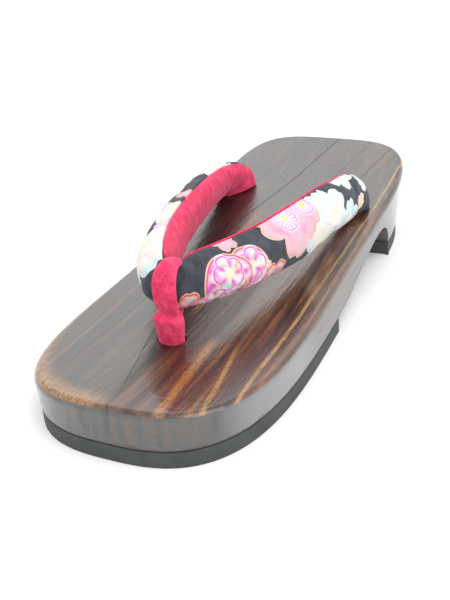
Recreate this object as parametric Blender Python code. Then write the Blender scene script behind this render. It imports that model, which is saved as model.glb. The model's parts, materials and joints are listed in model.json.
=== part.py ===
"""Geta sandal: a notched wooden base on two rubber pads, held on the foot by a padded V-shaped strap.

Metres, +Z up. The toe points along -Y and the floor is z = 0. The plane x = 0 splits the sandal in two
equal halves, and y = 0 is half way along the base.
"""

import math

import bmesh
import bpy
from mathutils import Matrix, Vector

# Fit between pieces that meet
GAP = 0.0003

# Base, in plan: a superellipse whose sides bow outwards towards both ends
LENGTH = 0.230
WAIST_WIDTH = 0.0865
END_FLARE = 0.25
TOE_BIAS = 0.05
TOE_ROUNDNESS_FLOOR = 2.75
TOE_ROUNDNESS_TOP = 2.90
HEEL_ROUNDNESS_FLOOR = 3.00
HEEL_ROUNDNESS_TOP = 3.80
WALL_DRAFT = 0.0006
EDGE_RADIUS = 0.0020

# Base, from the side: heights above the floor, and how far the top sinks below the line between its ends
TOE_HEIGHT = 0.0200
HEEL_HEIGHT = 0.0373
TOP_HOLLOW = 0.0079
RUBBER_THICKNESS = 0.0060

# Notch under the base, between the front block and the heel block
NOTCH_FRONT_Y = -0.0140
NOTCH_CREST_Y = 0.0480
HEEL_FACE_Y = 0.0610
NOTCH_CREST_Z = 0.0173
NOTCH_CORNER_DROP = 0.0100
NOTCH_RISE_LAG = 1.15

# Strap holes
FRONT_HOLE_Y = -0.0677
FRONT_HOLE_RADIUS = 0.0055
REAR_HOLE_INSET = 0.01275
REAR_HOLE_X = WAIST_WIDTH / 2 - REAR_HOLE_INSET
REAR_HOLE_Y = 0.0545
REAR_HOLE_RADIUS = 0.0045
KNOT_POCKET_RADIUS = 0.0120
KNOT_POCKET_ROOF = 0.0080

# Strap: where its nose stands, how high it stands over the wood, how thick its padding is
NOSE_Y = -0.0660
STRAP_RISE = 0.0300
STRAP_BULGE = 0.0080
LINING_BULGE = 0.0034
LINING_THICKNESS = 0.0011
LINING_MARGIN_SHARE = 0.07
LINING_SKIPPED_ROWS = 5

# Toe loop
LOOP_WIDTH = 0.0082
LOOP_THICKNESS = 0.0026
LOOP_REAR_WIDTH = 0.0034
LOOP_REAR_Y = -0.0612
LOOP_SLACK = 0.0004
LOOP_SQUARENESS = 2.6
STEM_WIDTH = 0.0097
STEM_DEPTH = 0.0078
STEM_SUNK = 0.0060

# Knots
FRONT_KNOT_RADIUS = 0.0080
FRONT_KNOT_HEIGHT = 0.0066
REAR_KNOT_RADIUS = 0.0052
REAR_KNOT_HEIGHT = 0.0068
REAR_KNOT_HANG = 0.0076
CORD_RADIUS = 0.0039

# Mesh fineness
OUTLINE_POINTS = 96
EDGE_STEPS = 4
NOTCH_STEPS = 14
HOLE_SIDES = 32
ROWS_PER_SECTION = 3
COVER_STEPS = 10
LINING_STEPS = 5
LOOP_STEPS = 40
LOOP_SIDES = 12
STEM_SIDES = 24
KNOT_STEPS = 7
KNOT_SIDES = 16

# Right arm of the strap, from its nose to the rear hole. Each row is one section of the flat band, from its
# upper seam to its lower seam. "along" is a share of the way from the nose to the rear hole, "out" a share
# of the rear hole's distance from the centre, "rise" a share of STRAP_RISE above the wood, "bulge" a share of
# STRAP_BULGE on the outer side, and "belly" a share of LINING_BULGE on the foot's side.
ARM_COLUMNS = (
    "upper_along", "upper_out", "upper_rise", "lower_along", "lower_out", "lower_rise", "bulge", "belly"
)
ARM_SHARES = (
    (0.000, 0.000, 0.940, 0.000, 0.000, 0.370, 0.46, 0.00),
    (0.036, 0.098, 0.962, 0.018, 0.164, 0.343, 0.70, 0.15),
    (0.091, 0.213, 0.992, 0.083, 0.289, 0.297, 0.92, 0.55),
    (0.174, 0.370, 0.990, 0.170, 0.407, 0.247, 1.00, 0.90),
    (0.299, 0.548, 0.963, 0.299, 0.574, 0.190, 1.00, 1.00),
    (0.423, 0.662, 0.930, 0.423, 0.731, 0.147, 0.94, 1.00),
    (0.548, 0.744, 0.880, 0.548, 0.843, 0.123, 0.86, 1.00),
    (0.672, 0.797, 0.820, 0.672, 0.925, 0.093, 0.79, 1.00),
    (0.797, 0.846, 0.712, 0.788, 1.013, 0.053, 0.68, 1.00),
    (0.905, 0.856, 0.590, 0.863, 1.062, 0.025, 0.60, 1.00),
    (1.000, 0.826, 0.430, 0.909, 1.108, 0.020, 0.57, 0.95),
    (1.060, 0.787, 0.230, 0.934, 1.148, 0.016, 0.57, 0.90),
    (1.077, 0.757, 0.010, 0.943, 1.161, 0.010, 0.58, 0.85),
)


def clear_scene():
    """Empty the scene this script is run in."""
    for obj in list(bpy.data.objects):
        bpy.data.objects.remove(obj, do_unlink=True)


def material(name, colour, roughness):
    """Return a plain, non-metallic surface."""
    surface = bpy.data.materials.new(name)
    surface.use_nodes = True
    shader = surface.node_tree.nodes["Principled BSDF"]
    shader.inputs["Base Color"].default_value = (*colour, 1.0)
    shader.inputs["Roughness"].default_value = roughness
    shader.inputs["Metallic"].default_value = 0.0
    surface.diffuse_color = (*colour, 1.0)
    return surface


def add_object(name, mesh, surface=None):
    """Put a bmesh into the scene as a named object, with its faces turned outwards."""
    bmesh.ops.recalc_face_normals(mesh, faces=mesh.faces)
    data = bpy.data.meshes.new(name)
    mesh.to_mesh(data)
    mesh.free()
    data.shade_smooth()
    data.set_sharp_from_angle(angle=math.radians(40))
    obj = bpy.data.objects.new(name, data)
    bpy.context.scene.collection.objects.link(obj)
    if surface:
        data.materials.append(surface)
    return obj


def cutter(name, mesh):
    """Add a solid that only serves to cut another."""
    obj = add_object(name, mesh)
    obj.hide_render = True
    obj.display_type = "WIRE"
    return obj


def boolean(obj, tool, operation="DIFFERENCE"):
    """Cut the object with the tool, or join the two."""
    step = obj.modifiers.new(tool.name, "BOOLEAN")
    step.operation = operation
    step.solver = "EXACT"
    step.object = tool


def skin(mesh, rings, cap_start=True, cap_end=True):
    """Bridge a row of closed rings of points, each with as many points as the next, and close both ends."""
    loops = [[mesh.verts.new(point) for point in ring] for ring in rings]
    count = len(loops[0])
    for first, second in zip(loops, loops[1:]):
        for i in range(count):
            j = (i + 1) % count
            mesh.faces.new((first[i], first[j], second[j], second[i]))
    if cap_start:
        mesh.faces.new(loops[0])
    if cap_end:
        mesh.faces.new(loops[-1])
    return loops


def mix(a, b, share):
    return a + (b - a) * share


def wood_top(y):
    """Height of the wood's top face: level over the front, then a concave climb to the heel."""
    share = y / LENGTH + 0.5
    return mix(TOE_HEIGHT, HEEL_HEIGHT, share) - TOP_HOLLOW * 4 * share * (1 - share)


def outline_point(angle, height_share):
    """One point of the base's plan at a polar angle, between its floor outline (0) and its top (1)."""
    across = math.cos(angle)
    along = math.sin(angle)
    if along < 0:
        power = mix(TOE_ROUNDNESS_FLOOR, TOE_ROUNDNESS_TOP, height_share)
    else:
        power = mix(HEEL_ROUNDNESS_FLOOR, HEEL_ROUNDNESS_TOP, height_share)
    radius = (abs(across) ** power + abs(along) ** power) ** (-1 / power)
    y = radius * along
    bow = 1 - TOE_BIAS * y + END_FLARE * y * y
    half_width = WAIST_WIDTH / 2 * bow - WALL_DRAFT * height_share
    return Vector((radius * across * half_width, y * LENGTH / 2, 0.0))


def outline(height_share, inset=0.0):
    """The base's plan as points, drawn in by an inset square to its edge."""
    step = 2 * math.pi / OUTLINE_POINTS
    points = [outline_point(i * step, height_share) for i in range(OUTLINE_POINTS)]
    if not inset:
        return points
    drawn_in = []
    for i, point in enumerate(points):
        run = points[(i + 1) % OUTLINE_POINTS] - points[i - 1]
        drawn_in.append(point + Vector((-run.y, run.x, 0.0)).normalized() * inset)
    return drawn_in


def base_block():
    """The uncut block: wall, rounded upper edge, and a top face made of strips from side to side."""
    underside = RUBBER_THICKNESS + GAP
    rings = [[Vector((p.x, p.y, underside)) for p in outline(0.0)]]
    for i in range(EDGE_STEPS + 1):
        turn = math.pi / 2 * i / EDGE_STEPS
        inset = EDGE_RADIUS * (1 - math.cos(turn))
        drop = EDGE_RADIUS * (1 - math.sin(turn))
        rings.append([Vector((p.x, p.y, wood_top(p.y) - drop)) for p in outline(1.0, inset)])
    mesh = bmesh.new()
    loops = skin(mesh, rings, cap_end=False)
    rim = loops[-1]
    quarter = OUTLINE_POINTS // 4
    half = OUTLINE_POINTS // 2
    # A strip joins the rim's points on the right to those on the left that lie as far along
    for i in range(-quarter, quarter):
        right = (rim[i], rim[i + 1])
        left = (rim[half - i - 1], rim[(half - i) % OUTLINE_POINTS])
        corners = [right[0], right[1], left[0], left[1]]
        mesh.faces.new(list(dict.fromkeys(corners)))
    return mesh


def notch_profile():
    """The notch from the side, as (y, z): a slow rise from the front, then a round corner at the heel."""
    start = RUBBER_THICKNESS + GAP
    points = [(NOTCH_FRONT_Y, -GAP), (NOTCH_FRONT_Y, start)]
    for i in range(1, NOTCH_STEPS + 1):
        share = i / NOTCH_STEPS
        lagged = share**NOTCH_RISE_LAG
        eased = lagged * lagged * (3 - 2 * lagged)
        points.append((mix(NOTCH_FRONT_Y, NOTCH_CREST_Y, share), mix(start, NOTCH_CREST_Z, eased)))
    corner_steps = NOTCH_STEPS // 2
    for i in range(1, corner_steps + 1):
        turn = math.pi / 2 * i / corner_steps
        y = mix(NOTCH_CREST_Y, HEEL_FACE_Y, math.sin(turn))
        points.append((y, NOTCH_CREST_Z - NOTCH_CORNER_DROP * (1 - math.cos(turn))))
    points.append((HEEL_FACE_Y, -GAP))
    return points


def notch_cutter():
    """The notch's profile drawn right across the base."""
    mesh = bmesh.new()
    sides = []
    for x in (-WAIST_WIDTH, WAIST_WIDTH):
        sides.append([Vector((x, y, z)) for y, z in notch_profile()])
    skin(mesh, sides)
    return cutter("notch_cutter", mesh)


def cylinder(x, y, radius, low, high):
    """An upright cylinder between two heights."""
    mesh = bmesh.new()
    place = Matrix.Translation((x, y, (low + high) / 2))
    size = {"radius1": radius, "radius2": radius, "depth": high - low}
    bmesh.ops.create_cone(mesh, cap_ends=True, segments=HOLE_SIDES, matrix=place, **size)
    return mesh


def pocket_roof():
    """Height of the roof of the front knot's pocket."""
    return wood_top(FRONT_HOLE_Y) - KNOT_POCKET_ROOF


def wooden_base(surface):
    """The block with its notch, its three strap holes and the pocket for the front knot."""
    base = add_object("wooden_base", base_block(), surface)
    boolean(base, notch_cutter())
    above = HEEL_HEIGHT + GAP
    boolean(base, cutter("front_hole", cylinder(0, FRONT_HOLE_Y, FRONT_HOLE_RADIUS, 0, above)))
    boolean(base, cutter("knot_pocket", cylinder(0, FRONT_HOLE_Y, KNOT_POCKET_RADIUS, 0, pocket_roof())))
    for side, x in (("right", -REAR_HOLE_X), ("left", REAR_HOLE_X)):
        hole = cylinder(x, REAR_HOLE_Y, REAR_HOLE_RADIUS, RUBBER_THICKNESS, above)
        boolean(base, cutter("rear_hole_" + side, hole))
    return base


def rubber_pad(name, start_y, end_y, surface):
    """A pad of the base's floor outline between two crosswise cuts."""
    mesh = bmesh.new()
    edge = outline(0.0)
    levels = (0.0, RUBBER_THICKNESS)
    skin(mesh, [[Vector((p.x, p.y, z)) for p in edge] for z in levels])
    for y, outwards in ((start_y, -1), (end_y, 1)):
        everything = [*mesh.verts, *mesh.edges, *mesh.faces]
        cut = bmesh.ops.bisect_plane(
            mesh, geom=everything, plane_co=(0, y, 0), plane_no=(0, outwards, 0), clear_outer=True
        )
        open_edges = [item for item in cut["geom_cut"] if isinstance(item, bmesh.types.BMEdge)]
        if open_edges:
            bmesh.ops.edgeloop_fill(mesh, edges=open_edges)
    return add_object(name, mesh, surface)


def front_rubber_sole(surface):
    """The long pad, open where the front knot sits."""
    pad = rubber_pad("front_rubber_sole", -LENGTH, NOTCH_FRONT_Y, surface)
    opening = cylinder(0, FRONT_HOLE_Y, KNOT_POCKET_RADIUS, -GAP, RUBBER_THICKNESS + GAP)
    boolean(pad, cutter("knot_opening", opening))
    return pad


def arm_section(index):
    """One row of the arm's table: the points of its two seams, and the depth of its bulge and its belly."""
    mirrored = index < 0
    row = dict(zip(ARM_COLUMNS, ARM_SHARES[abs(index)]))
    seams = []
    for seam in ("upper", "lower"):
        x = REAR_HOLE_X * row[seam + "_out"]
        y = mix(NOSE_Y, REAR_HOLE_Y, row[seam + "_along"])
        z = wood_top(y) + STRAP_RISE * row[seam + "_rise"]
        seams.append(Vector((-x if mirrored else x, y, z)))
    return seams[0], seams[1], STRAP_BULGE * row["bulge"], LINING_BULGE * row["belly"]


def smooth(before, start, end, after, share):
    """A point or number on the smooth curve between start and end, guided by their neighbours."""
    square = share * share
    cube = square * share
    return (
        start * (2 * cube - 3 * square + 1)
        + (end - before) * 0.5 * (cube - 2 * square + share)
        + end * (3 * square - 2 * cube)
        + (after - start) * 0.5 * (cube - square)
    )


def arm_frames():
    """Seams, bulge, belly and outward direction of every row of the arm, from nose to rear end."""
    last = len(ARM_SHARES) - 1
    rows = []
    for index in range(last):
        guides = [arm_section(min(index + offset, last)) for offset in (-1, 0, 1, 2)]
        for step in range(ROWS_PER_SECTION):
            share = step / ROWS_PER_SECTION
            rows.append([smooth(*(guide[part] for guide in guides), share) for part in range(4)])
    rows.append(list(arm_section(last)))
    frames = []
    for i, (upper, lower, bulge, belly) in enumerate(rows):
        if i == 0:
            outward = Vector((0.0, -1.0, 0.0))
        else:
            ahead = rows[min(i + 1, len(rows) - 1)]
            behind = rows[i - 1]
            run = (ahead[0] + ahead[1]) - (behind[0] + behind[1])
            outward = run.cross(upper - lower).normalized()
        frames.append((upper, lower, bulge, belly, outward))
    return frames


def on_wood(point, clearance=GAP):
    """The point, lifted out of the wood if it would sink in."""
    return Vector((point.x, point.y, max(point.z, wood_top(point.y) + clearance)))


def cover_ring(frame):
    """The cover's section: a deep round back outside, and a shallow belly towards the foot."""
    upper, lower, bulge, belly, outward = frame
    ring = []
    for i in range(COVER_STEPS + 1):
        turn = math.pi * i / COVER_STEPS
        share = (1 - math.cos(turn)) / 2
        ring.append(on_wood(lower.lerp(upper, share) + outward * bulge * math.sin(turn)))
    for i in range(1, LINING_STEPS):
        share = 1 - i / LINING_STEPS
        ring.append(on_wood(lower.lerp(upper, share) - outward * belly * math.sin(math.pi * share)))
    return ring


def lining_ring(frame):
    """The lining's section: a thin band that follows the cover's inner side."""
    upper, lower, bulge, belly, outward = frame
    ring = []
    for depth, order in ((GAP, 1), (GAP + LINING_THICKNESS, -1)):
        steps = [i / LINING_STEPS for i in range(LINING_STEPS + 1)]
        shares = [mix(LINING_MARGIN_SHARE, 1 - LINING_MARGIN_SHARE, step) for step in steps]
        for share in shares[::order]:
            inwards = belly * math.sin(math.pi * share) + depth
            ring.append(on_wood(lower.lerp(upper, share) - outward * inwards))
    return ring


def seat(ring):
    """Lay the end of an arm on the wood around its hole."""
    return [Vector((point.x, point.y, wood_top(point.y) + GAP)) for point in ring]


def strap_cover(surface):
    """Both arms of the padded cover, in one piece that is joined at the nose."""
    rings = [cover_ring(frame) for frame in arm_frames()]
    rings[-1] = seat(rings[-1])
    mesh = bmesh.new()
    skin(mesh, rings, cap_start=False)
    cover = add_object("strap_cover", mesh, surface)
    step = cover.modifiers.new("left_arm", "MIRROR")
    step.use_axis = (True, False, False)
    step.merge_threshold = 0.00002
    return cover


def strap_lining(name, side, surface):
    """One arm's lining, from just behind the toe loop to the rear hole; side is 1 or -1 along X."""
    rings = [lining_ring(frame) for frame in arm_frames()[LINING_SKIPPED_ROWS:]]
    rings[-1] = seat(rings[-1])
    mesh = bmesh.new()
    skin(mesh, [[Vector((point.x * side, point.y, point.z)) for point in ring] for ring in rings])
    return add_object(name, mesh, surface)


def loop_ends():
    """The toe loop's reach along Y and up, as the middle of its band: front, rear, bottom, top."""
    nose = arm_section(0)
    shoulder = arm_section(1)
    half_band = LOOP_THICKNESS / 2
    front = NOSE_Y - nose[2] - GAP - half_band
    bottom = shoulder[1].z - GAP - half_band
    top = shoulder[0].z + GAP + half_band + LOOP_SLACK
    return front, LOOP_REAR_Y, bottom, top


def loop_ring():
    """The closed band around the strap's nose, flat inside and rounded at its edges."""
    front, rear, bottom, top = loop_ends()
    middle = Vector((0.0, (front + rear) / 2, (bottom + top) / 2))
    mesh = bmesh.new()
    loops = []
    for i in range(LOOP_STEPS):
        angle = 2 * math.pi * i / LOOP_STEPS
        back = math.cos(angle)
        up = math.sin(angle)
        radius = (abs(back) ** LOOP_SQUARENESS + abs(up) ** LOOP_SQUARENESS) ** (-1 / LOOP_SQUARENESS)
        centre = middle + Vector((0.0, radius * back * (rear - front) / 2, radius * up * (top - bottom) / 2))
        outwards = Vector((0.0, back / (rear - front), up / (top - bottom))).normalized()
        width = mix(LOOP_WIDTH, LOOP_REAR_WIDTH, max(back, 0.0) ** 0.7)
        ring = []
        for k in range(LOOP_SIDES):
            turn = 2 * math.pi * k / LOOP_SIDES
            side = Vector((width / 2 * math.cos(turn), 0.0, 0.0))
            ring.append(mesh.verts.new(centre + side + outwards * LOOP_THICKNESS / 2 * math.sin(turn)))
        loops.append(ring)
    for first, second in zip(loops, loops[1:] + loops[:1]):
        for k in range(LOOP_SIDES):
            n = (k + 1) % LOOP_SIDES
            mesh.faces.new((first[k], first[n], second[n], second[k]))
    return mesh


def turned(x, y, rings, sides, depth_share=1.0):
    """A solid turned about an upright axis, from (height, radius) pairs; depth_share flattens it along Y."""
    mesh = bmesh.new()
    circles = []
    for height, radius in rings:
        circle = []
        for k in range(sides):
            turn = 2 * math.pi * k / sides
            across = radius * math.cos(turn)
            along = depth_share * radius * math.sin(turn)
            circle.append(Vector((x + across, y + along, height)))
        circles.append(circle)
    skin(mesh, circles)
    return mesh


def stem_foot():
    """Height of the stem's lower end, inside the front hole."""
    return wood_top(FRONT_HOLE_Y) - STEM_SUNK


def toe_loop(surface):
    """The band around the nose, and the stem below it that goes into the front hole."""
    loop = add_object("toe_loop", loop_ring(), surface)
    foot = stem_foot()
    head = loop_ends()[2]
    half = STEM_WIDTH / 2
    profile = ((0.00, 0.92), (0.35, 0.96), (0.60, 1.00), (0.80, 0.98), (0.94, 0.86), (1.00, 0.68))
    rings = [(mix(foot, head, up), half * swell) for up, swell in profile]
    stem = cutter("stem", turned(0.0, FRONT_HOLE_Y, rings, STEM_SIDES, STEM_DEPTH / STEM_WIDTH))
    boolean(loop, stem, "UNION")
    return loop


def tied_cord(name, x, y, cord_top, knot_middle, knot_radius, knot_height, surface):
    """A cord that comes down through its hole and ends in a plain round knot."""
    rings = [(cord_top, CORD_RADIUS)]
    neck_turn = math.asin(CORD_RADIUS / knot_radius)
    for i in range(KNOT_STEPS + 1):
        turn = mix(neck_turn, math.pi - neck_turn / 2, i / KNOT_STEPS)
        rings.append((knot_middle + knot_height / 2 * math.cos(turn), knot_radius * math.sin(turn)))
    return add_object(name, turned(x, y, rings, KNOT_SIDES), surface)


def front_knot(surface):
    """The toe loop's cord, tied in the pocket under the front hole."""
    middle = pocket_roof() - GAP - FRONT_KNOT_HEIGHT / 2
    return tied_cord("front_knot", 0.0, FRONT_HOLE_Y, stem_foot() - GAP, middle, FRONT_KNOT_RADIUS,
                     FRONT_KNOT_HEIGHT, surface)


def rear_knot(name, side, surface):
    """An arm's cord, tied under the notch's roof; side is 1 or -1 along X."""
    cord_top = wood_top(REAR_HOLE_Y - CORD_RADIUS)
    middle = NOTCH_CREST_Z - REAR_KNOT_HANG
    return tied_cord(name, side * REAR_HOLE_X, REAR_HOLE_Y, cord_top, middle, REAR_KNOT_RADIUS,
                     REAR_KNOT_HEIGHT, surface)


def build():
    clear_scene()
    wood = material("lacquered_wood", (0.055, 0.032, 0.020), 0.22)
    rubber = material("black_rubber", (0.030, 0.031, 0.031), 0.75)
    print_cloth = material("printed_cotton", (0.80, 0.66, 0.68), 0.80)
    crimson = material("crimson_cloth", (0.60, 0.035, 0.085), 0.85)
    cord = material("hemp_cord", (0.50, 0.40, 0.26), 0.90)
    wooden_base(wood)
    front_rubber_sole(rubber)
    rubber_pad("heel_rubber_sole", HEEL_FACE_Y, LENGTH, rubber)
    strap_cover(print_cloth)
    for side_name, side in (("right", -1), ("left", 1)):
        strap_lining("strap_lining_" + side_name, side, crimson)
        rear_knot("rear_knot_" + side_name, side, cord)
    toe_loop(crimson)
    front_knot(cord)


build()
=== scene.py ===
# %% [markdown]
# # A geta sandal
#
# This lesson dresses a geta, a wooden sandal held on the foot by a padded V-shaped strap. The plain solids
# are a fixed frame, in metres, with the toe along -Y and the floor at z = 0. Every piece is modelled in its
# place on that frame, so nothing has to be fitted afterwards.

# %% Load the frame
import json
import math
from functools import partialmethod

import bmesh
import bpy
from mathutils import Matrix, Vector

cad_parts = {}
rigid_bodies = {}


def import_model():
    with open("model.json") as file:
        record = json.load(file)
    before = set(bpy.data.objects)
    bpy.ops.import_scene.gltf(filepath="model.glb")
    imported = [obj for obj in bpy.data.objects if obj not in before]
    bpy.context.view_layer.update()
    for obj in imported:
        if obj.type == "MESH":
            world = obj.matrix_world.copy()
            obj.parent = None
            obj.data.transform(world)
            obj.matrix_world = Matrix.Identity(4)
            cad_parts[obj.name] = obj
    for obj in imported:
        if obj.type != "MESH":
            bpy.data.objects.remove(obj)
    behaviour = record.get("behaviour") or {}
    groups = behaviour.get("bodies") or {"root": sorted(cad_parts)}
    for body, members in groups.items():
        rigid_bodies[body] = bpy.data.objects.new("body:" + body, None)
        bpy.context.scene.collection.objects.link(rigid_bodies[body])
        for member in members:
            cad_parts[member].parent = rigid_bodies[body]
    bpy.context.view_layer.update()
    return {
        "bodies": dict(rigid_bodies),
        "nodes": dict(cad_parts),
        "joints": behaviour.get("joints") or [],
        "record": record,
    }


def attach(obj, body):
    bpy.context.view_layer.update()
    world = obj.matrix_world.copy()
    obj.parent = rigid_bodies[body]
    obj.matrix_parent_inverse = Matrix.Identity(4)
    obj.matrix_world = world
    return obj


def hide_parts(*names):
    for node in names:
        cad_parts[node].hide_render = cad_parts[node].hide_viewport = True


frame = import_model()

print("frame:", sorted(frame["nodes"]))

# %% [markdown]
# ## Small helpers
#
# Operators act on whatever is selected, and the frame's pieces arrive selected, so each step starts from an
# empty selection. A finished piece keeps its place in its mesh, and its object stays at the origin.

# %% Helpers for pieces
def deselect():
    """Leave edit mode and select nothing."""
    if bpy.context.object and bpy.context.object.mode != "OBJECT":
        bpy.ops.object.mode_set(mode="OBJECT")
    bpy.ops.object.select_all(action="DESELECT")


def pick(*objects):
    """Select these objects alone, and make the first one active."""
    deselect()
    for obj in objects:
        obj.select_set(True)
    bpy.context.view_layer.objects.active = objects[0]


def named(name):
    """Name the primitive that was just added, and move its place into its mesh."""
    obj = bpy.context.object
    obj.name = name
    obj.data.name = name
    bpy.ops.object.transform_apply(location=True, rotation=True, scale=True)
    return obj


def set_all(item, settings):
    """Set several properties of one item."""
    for name, value in settings.items():
        setattr(item, name, value)


def finish_modifier(obj, kind, **settings):
    """Add a modifier, set it, and apply it."""
    pick(obj)
    step = obj.modifiers.new(kind.lower(), kind)
    set_all(step, settings)
    bpy.ops.object.modifier_apply(modifier=step.name)


def smooth_shading(obj, degrees=180):
    """Shade smoothly, except over edges that turn by more than this."""
    pick(obj)
    bpy.ops.object.shade_smooth_by_angle(angle=math.radians(degrees))


def break_edges(obj, width):
    """Bevel each sharp edge, and shade smoothly between them."""
    finish_modifier(obj, "BEVEL", width=width, segments=2, limit_method="ANGLE",
                    angle_limit=math.radians(50), use_clamp_overlap=False)
    smooth_shading(obj, 35)


def fuse(parts, voxel, smoothing):
    """Join parts that reach into each other, and remesh them into one soft body."""
    pick(*parts)
    bpy.ops.object.join()
    finish_modifier(parts[0], "REMESH", mode="VOXEL", voxel_size=voxel)
    finish_modifier(parts[0], "SMOOTH", factor=0.5, iterations=smoothing)
    return parts[0]


def edit_all():
    """Go into edit mode, with everything selected."""
    bpy.ops.object.mode_set(mode="EDIT")
    bpy.ops.mesh.select_all(action="SELECT")


def face_outwards():
    """In edit mode, turn every face outwards."""
    edit_all()
    bpy.ops.mesh.normals_make_consistent(inside=False)


def extrude(*move):
    """In edit mode, extrude what is selected."""
    bpy.ops.mesh.extrude_region_move(TRANSFORM_OT_translate={"value": move})


def bisect_at(y, side=1, **settings):
    """In edit mode, cut what is selected crosswise at y."""
    bpy.ops.mesh.bisect(plane_co=(0, y, 0), plane_no=(0, side, 0), **settings)


def select_where(obj, kind, test):
    """In edit mode, select the vertices, edges or faces that pass the test, and nothing else."""
    bpy.ops.mesh.select_all(action="DESELECT")
    bpy.ops.mesh.select_mode(type=kind)
    mesh = bmesh.from_edit_mesh(obj.data)
    items = {"VERT": mesh.verts, "EDGE": mesh.edges, "FACE": mesh.faces}[kind]
    found = [item for item in items if test(item)]
    for item in found:
        item.select_set(True)
    mesh.select_flush_mode()
    bmesh.update_edit_mesh(obj.data)
    return len(found)


def mix(a, b, share):
    """The value at this share of the way from a to b."""
    return a + (b - a) * share


# %% [markdown]
# Colours are written as they look on screen. Blender's shaders work in linear light, so one function converts
# them. What a shader node gives is wrapped in a small class, so that Python's own signs write the shader's
# arithmetic: a sum or a product of two such values adds a Math node.

# %% Helpers for finishes
def linear(hex_colour):
    """An on-screen colour such as "c8284e" as linear light with an alpha of one."""
    values = []
    for start in (0, 2, 4):
        share = int(hex_colour[start:start + 2], 16) / 255
        values.append(share / 12.92 if share <= 0.04045 else ((share + 0.055) / 1.055) ** 2.4)
    return (*values, 1)


def add(tree, kind, inputs=None, **settings):
    """Add a shader node, set its options, and fill or link its inputs."""
    made = tree.nodes.new(kind if kind.startswith("Node") else "ShaderNode" + kind)
    set_all(made, settings)
    for key, value in (inputs or {}).items():
        if isinstance(value, Wire):
            tree.links.new(value.socket, made.inputs[key])
        else:
            made.inputs[key].default_value = value
    return made


def wire(tree, kind, inputs=None, output=0, **settings):
    """Add a shader node, and give one of its outputs."""
    return Wire(add(tree, kind, inputs, **settings).outputs[output])


class Wire:
    """A value that a shader works out."""

    def __init__(self, socket):
        self.socket = socket
        self.tree = socket.id_data

    def calc(self, operation, *others):
        """One step of arithmetic with other values or plain numbers."""
        return wire(self.tree, "Math", dict(enumerate((self, *others))), operation=operation)

    def __rsub__(self, number):
        return wire(self.tree, "Math", {0: number, 1: self}, operation="SUBTRACT")

    __add__ = partialmethod(calc, "ADD")
    __sub__ = partialmethod(calc, "SUBTRACT")
    __mul__ = partialmethod(calc, "MULTIPLY")
    __truediv__ = partialmethod(calc, "DIVIDE")
    __pow__ = partialmethod(calc, "POWER")
    __abs__ = partialmethod(calc, "ABSOLUTE")
    __radd__ = __add__
    __rmul__ = __mul__


def between(value, low, high, smooth=True):
    """0 where the value is at low, 1 where it is at high."""
    inputs = {"Value": value, "From Min": low, "From Max": high}
    return wire(value.tree, "MapRange", inputs, interpolation_type="SMOOTHSTEP" if smooth else "LINEAR")


def over(share, under, top):
    """Lay one colour over another by a share from 0 to 1."""
    top = linear(top) if isinstance(top, str) else top
    return wire(share.tree, "Mix", {0: share, 6: under, 7: top}, 2, data_type="RGBA")


def ramp(share, *stops):
    """A row of colours, each at its place from 0 to 1."""
    node = add(share.tree, "ValToRGB", {0: share})
    row = node.color_ramp
    while len(row.elements) < len(stops):
        row.elements.new(0.5)
    for element, (place, colour) in zip(row.elements, stops):
        element.position = place
        element.color = linear(colour)
    return Wire(node.outputs[0])


def noise(place, stretch, detail=3.0, roughness=0.55):
    """Soft noise whose blots have these sizes, in mm, along the three directions of the place given."""
    scale = tuple(1 / size for size in stretch)
    mapped = wire(place.tree, "Mapping", {"Vector": place, "Scale": scale})
    inputs = {"Vector": mapped, "Scale": 1, "Detail": detail, "Roughness": roughness}
    return wire(place.tree, "TexNoise", inputs)


def millimetres(tree):
    """The place on the object, in mm."""
    place = wire(tree, "TexCoord", output="Object")
    return wire(tree, "VectorMath", {0: place, 3: 1000.0}, operation="SCALE")


def parts_of(place):
    """A place's parts across, along and up."""
    return map(Wire, add(place.tree, "SeparateXYZ", {0: place}).outputs)


def finish(name, **settings):
    """A new material with its shader's own sockets set."""
    made = bpy.data.materials.new(name)
    made.use_nodes = True
    shader = made.node_tree.nodes["Principled BSDF"]
    for key, value in settings.items():
        shader.inputs[key.replace("_", " ")].default_value = value
    return made, made.node_tree, shader


def relief(height, distance, strength=1.0):
    """A height from 0 to 1 that tilts the surface; the distance is its real depth in metres."""
    return wire(height.tree, "Bump", {"Height": height, "Distance": distance, "Strength": strength})


def feed(shader, **values):
    """Link values into the shader's sockets."""
    for key, value in values.items():
        value.tree.links.new(value.socket, shader.inputs[key.replace("_", " ")])


# %% [markdown]
# ## The camera
#
# The sandal is seen from its front left, from a little above, with the picture tilted by four degrees. The
# camera stands where the photograph's does and is turned to hold this one sandal.

# %% Camera
CAMERA_PLACE = Vector((0.1347, -0.2963, 0.1680))
CAMERA_AIM = Vector((0.0112, -0.0466, 0.0250))
CAMERA_ROLL = math.radians(4.1)
CAMERA_LENS = 52.0

deselect()
bpy.ops.object.camera_add(location=CAMERA_PLACE)
camera = bpy.context.object
camera.name = "camera"
forward = (CAMERA_AIM - CAMERA_PLACE).normalized()
level = forward.cross(Vector((0, 0, 1))).normalized()
upright = level.cross(forward)
right = level * math.cos(CAMERA_ROLL) - upright * math.sin(CAMERA_ROLL)
up = upright * math.cos(CAMERA_ROLL) + level * math.sin(CAMERA_ROLL)
turn = camera.matrix_world.copy()
for row in range(3):
    turn[row][0], turn[row][1], turn[row][2] = right[row], up[row], -forward[row]
camera.matrix_world = turn
camera.data.lens = CAMERA_LENS
camera.data.sensor_width = 36.0
camera.data.clip_start = 0.01
bpy.context.scene.camera = camera
print("camera looks along", [round(x, 3) for x in forward])

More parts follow.
